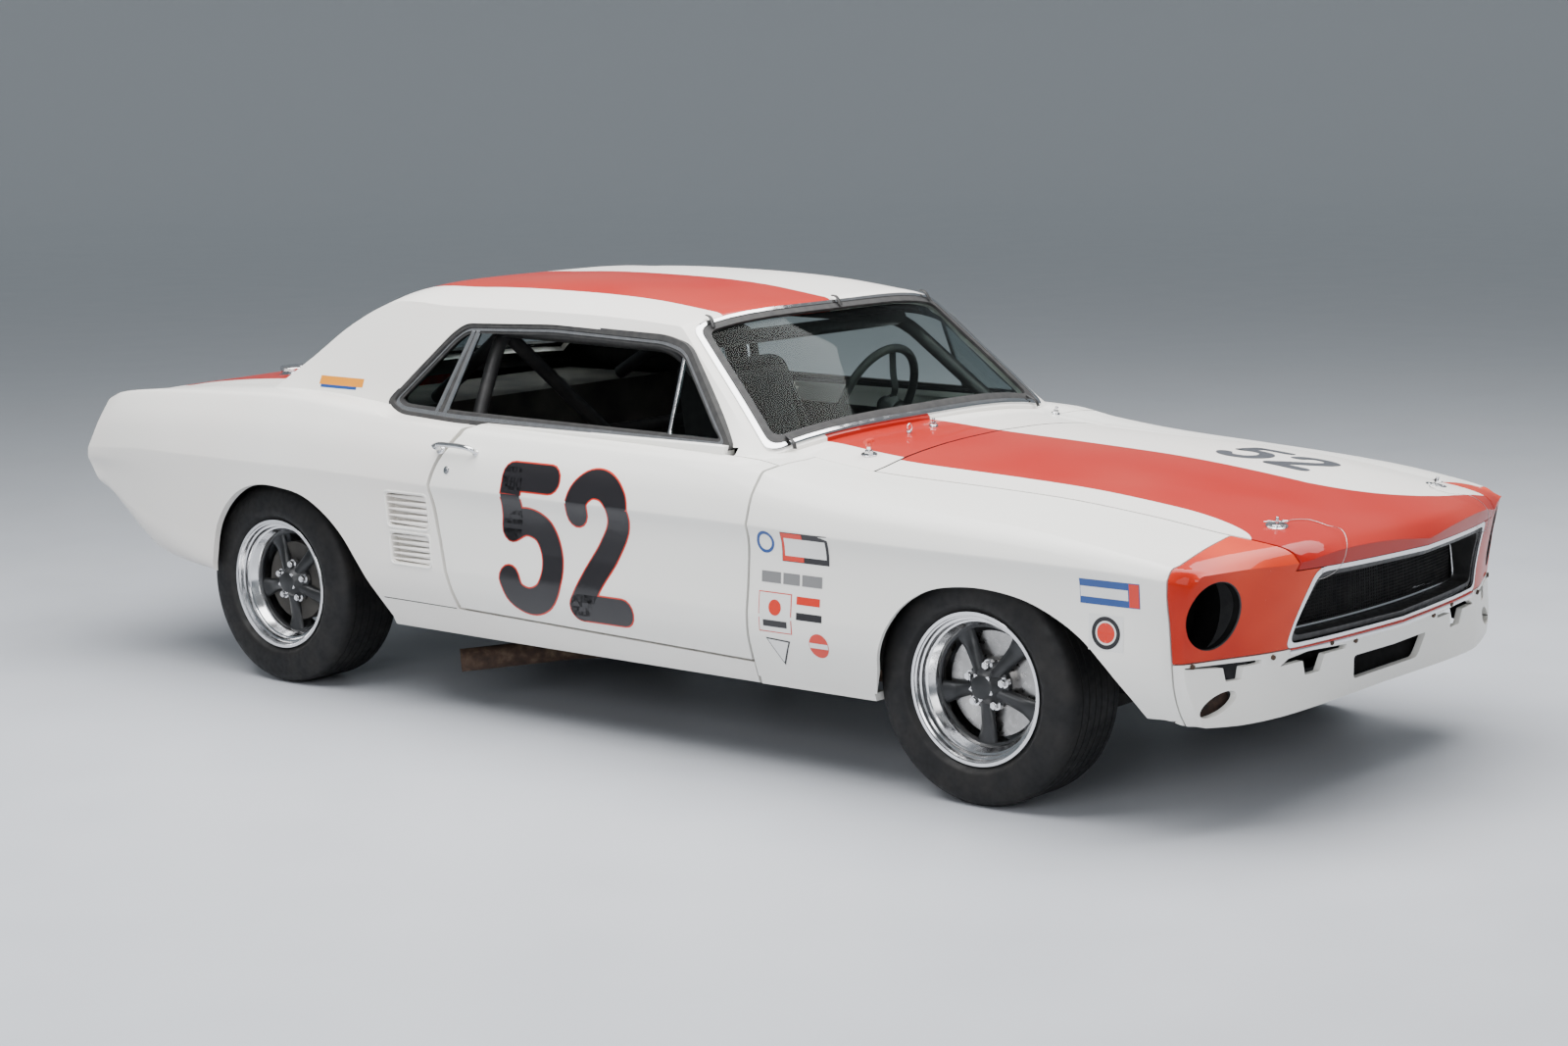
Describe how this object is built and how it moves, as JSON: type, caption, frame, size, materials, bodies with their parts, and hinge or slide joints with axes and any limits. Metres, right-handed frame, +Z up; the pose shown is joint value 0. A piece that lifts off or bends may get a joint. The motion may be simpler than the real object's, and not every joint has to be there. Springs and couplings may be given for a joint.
{
  "type": "race car",
  "caption": "Two-door coupe prepared for circuit racing, with a roll cage, wide tyres, an open grille and no bumpers or headlamps.",
  "frame": {"origin": "on the ground under the middle of the car's box", "axes": "+Z up, the front faces -Y, the car's left side is +X"},
  "size_m": [1.8078, 4.5498, 1.292],
  "materials": {
    "body_white": "gloss",
    "nose_orange": "gloss",
    "black_paint": "satin",
    "chassis_steel": "satin",
    "chrome": "polished",
    "tyre_rubber": "matt",
    "wheel_alloy": "polished lip, dark spokes",
    "window_glass": "clear",
    "seat_black": "matt",
    "exhaust_rust": "rusty",
    "lamp_red": "gloss"
  },
  "bodies": {
    "car_body": {"body_shell": "body_white", "front_valance": "body_white", "grille_frame": "chrome", "grille_mesh": "black_paint", "windshield": "window_glass", "rear_window": "window_glass", "kill_switch": "chrome", "floor_pan": "chassis_steel", "trunk_floor": "chassis_steel", "engine_bay": "chassis_steel", "front_suspension": "chassis_steel", "rear_axle": "chassis_steel", "engine_block": "chassis_steel", "radiator": "black_paint", "driveline": "chassis_steel", "exhaust": "exhaust_rust", "fuel_cell": "black_paint", "roll_cage": "black_paint", "seat": "seat_black", "dashboard": "black_paint", "front_fender_left": "body_white", "lamp_bucket_left": "nose_orange", "tail_lamp_left": "lamp_red", "quarter_window_left": "window_glass", "front_fender_right": "body_white", "lamp_bucket_right": "nose_orange", "tail_lamp_right": "lamp_red", "quarter_window_right": "window_glass"},
    "hood": {"hood": "nose_orange"},
    "trunk_lid": {"trunk_lid": "body_white", "fuel_filler": "chrome"},
    "steering_wheel": {"steering_wheel": "black_paint"},
    "door_left": {"door_left": "body_white", "door_handle_left": "chrome", "vent_window_left": "window_glass"},
    "knuckle_left": {"knuckle_left": "chassis_steel"},
    "front_wheel_left": {"tyre_front_left": "tyre_rubber", "wheel_front_left": "wheel_alloy", "brake_disc_left": "chassis_steel"},
    "rear_wheel_left": {"tyre_rear_left": "tyre_rubber", "wheel_rear_left": "wheel_alloy"},
    "door_right": {"door_right": "body_white", "door_handle_right": "chrome", "vent_window_right": "window_glass"},
    "knuckle_right": {"knuckle_right": "chassis_steel"},
    "front_wheel_right": {"tyre_front_right": "tyre_rubber", "wheel_front_right": "wheel_alloy", "brake_disc_right": "chassis_steel"},
    "rear_wheel_right": {"tyre_rear_right": "tyre_rubber", "wheel_rear_right": "wheel_alloy"}
  },
  "joints": [
    {"name": "hood_hinge", "type": "hinge", "parent": "car_body", "child": "hood", "pos_m": [0, -0.8855, 0.892], "axis": [-1, 0, 0], "range_deg": [0, 55]},
    {"name": "trunk_hinge", "type": "hinge", "parent": "car_body", "child": "trunk_lid", "pos_m": [0, 1.611, 0.948], "axis": [1, 0, 0], "range_deg": [0, 65]},
    {"name": "door_left_hinge", "type": "hinge", "parent": "car_body", "child": "door_left", "pos_m": [0.905, -0.675, 0.6], "axis": [0, 0, 1], "range_deg": [-65, 0]},
    {"name": "door_right_hinge", "type": "hinge", "parent": "car_body", "child": "door_right", "pos_m": [-0.905, -0.675, 0.6], "axis": [0, 0, 1], "range_deg": [0, 65]},
    {"name": "steer_right", "type": "hinge", "parent": "car_body", "child": "knuckle_right", "pos_m": [-0.655, -1.389, 0.318], "axis": [0, 0, 1], "range_deg": [-25, 25]},
    {"name": "steer_left", "type": "hinge", "parent": "car_body", "child": "knuckle_left", "pos_m": [0.655, -1.389, 0.318], "axis": [0, 0, 1], "range_deg": [-25, 25]},
    {"name": "steering_wheel_turn", "type": "hinge", "parent": "car_body", "child": "steering_wheel", "pos_m": [0.36, -0.154, 0.89], "axis": [0, 0.9272, 0.3746], "range_deg": [-360, 360]},
    {"name": "front_wheel_left_spin", "type": "hinge", "parent": "knuckle_left", "child": "front_wheel_left", "pos_m": [0.713, -1.389, 0.318], "axis": [1, 0, 0], "continuous": true},
    {"name": "rear_wheel_left_spin", "type": "hinge", "parent": "car_body", "child": "rear_wheel_left", "pos_m": [0.713, 1.354, 0.322], "axis": [1, 0, 0], "continuous": true},
    {"name": "front_wheel_right_spin", "type": "hinge", "parent": "knuckle_right", "child": "front_wheel_right", "pos_m": [-0.713, -1.389, 0.318], "axis": [1, 0, 0], "continuous": true},
    {"name": "rear_wheel_right_spin", "type": "hinge", "parent": "car_body", "child": "rear_wheel_right", "pos_m": [-0.713, 1.354, 0.322], "axis": [1, 0, 0], "continuous": true}
  ],
  "couplings": [
    {"joint": "steer_left", "follows": "steer_right", "ratio": 1},
    {"joint": "steering_wheel_turn", "follows": "steer_right", "ratio": 14.4}
  ]
}
